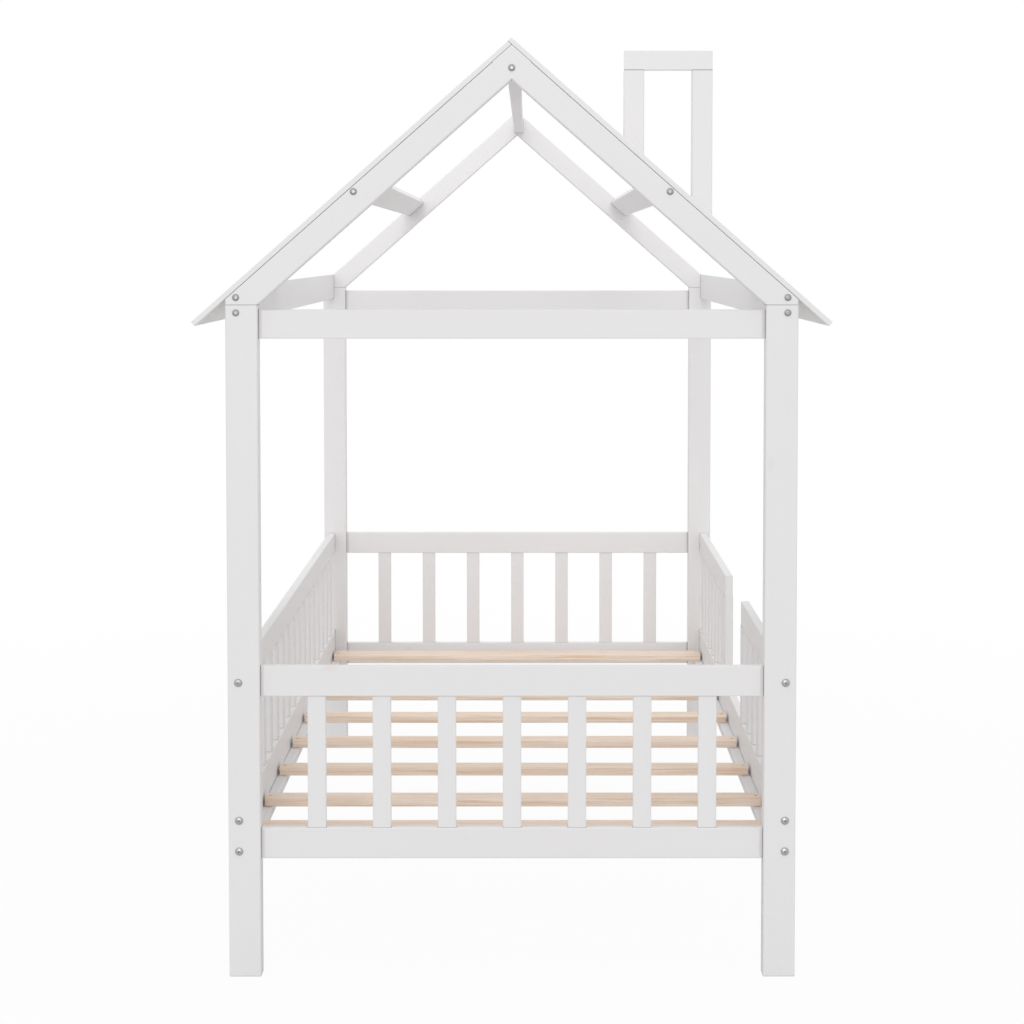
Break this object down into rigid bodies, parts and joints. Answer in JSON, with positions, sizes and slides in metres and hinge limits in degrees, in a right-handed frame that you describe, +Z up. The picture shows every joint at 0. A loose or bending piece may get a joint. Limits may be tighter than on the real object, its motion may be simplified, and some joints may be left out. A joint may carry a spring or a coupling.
{
  "type": "house frame bed",
  "caption": "Low slatted child's bed between posts, with picket guards, a side entrance and an open house-shaped roof frame with two short roof boards and a chimney frame.",
  "frame": {"origin": "on the floor, midway between the four posts", "axes": "+X to the right as seen from the front end, on the side with the entrance; +Y from the front end, which has the roof boards, to the back end; +Z up"},
  "size_m": [1.1922, 1.996, 1.7589],
  "materials": {
    "white_painted_pine": "satin white paint",
    "bare_pine": "planed, unpainted",
    "zinc_steel": "zinc plated",
    "beech_dowel": "bare"
  },
  "bodies": {
    "root": {"back_high_rail": "white_painted_pine", "back_left_post": "white_painted_pine", "back_left_rafter": "white_painted_pine", "back_low_rail": "white_painted_pine", "back_pickets": "white_painted_pine", "back_right_post": "white_painted_pine", "back_right_rafter": "white_painted_pine", "back_top_beam": "white_painted_pine", "barrel_nuts": "zinc_steel", "chimney_bar": "white_painted_pine", "chimney_lower_leg": "white_painted_pine", "chimney_upper_leg": "white_painted_pine", "dowels": "beech_dowel", "frame_bolts": "zinc_steel", "front_high_rail": "white_painted_pine", "front_left_post": "white_painted_pine", "front_left_rafter": "white_painted_pine", "front_low_rail": "white_painted_pine", "front_pickets": "white_painted_pine", "front_right_post": "white_painted_pine", "front_right_rafter": "white_painted_pine", "front_top_beam": "white_painted_pine", "house_screws": "zinc_steel", "left_eave_beam": "white_painted_pine", "left_guard_pickets": "white_painted_pine", "left_guard_rail": "white_painted_pine", "left_ledger": "white_painted_pine", "left_purlin": "white_painted_pine", "left_roof_board": "white_painted_pine", "left_side_rail": "white_painted_pine", "ridge_beam": "white_painted_pine", "right_back_guard_pickets": "white_painted_pine", "right_back_guard_rail": "white_painted_pine", "right_back_stile": "white_painted_pine", "right_eave_beam": "white_painted_pine", "right_front_guard_pickets": "white_painted_pine", "right_front_guard_rail": "white_painted_pine", "right_front_stile": "white_painted_pine", "right_ledger": "white_painted_pine", "right_purlin": "white_painted_pine", "right_roof_board": "white_painted_pine", "right_side_rail": "white_painted_pine", "slat_1": "bare_pine", "slat_2": "bare_pine", "slat_3": "bare_pine", "slat_4": "bare_pine", "slat_5": "bare_pine", "slat_6": "bare_pine", "slat_7": "bare_pine", "slat_8": "bare_pine"}
  },
  "joints": []
}
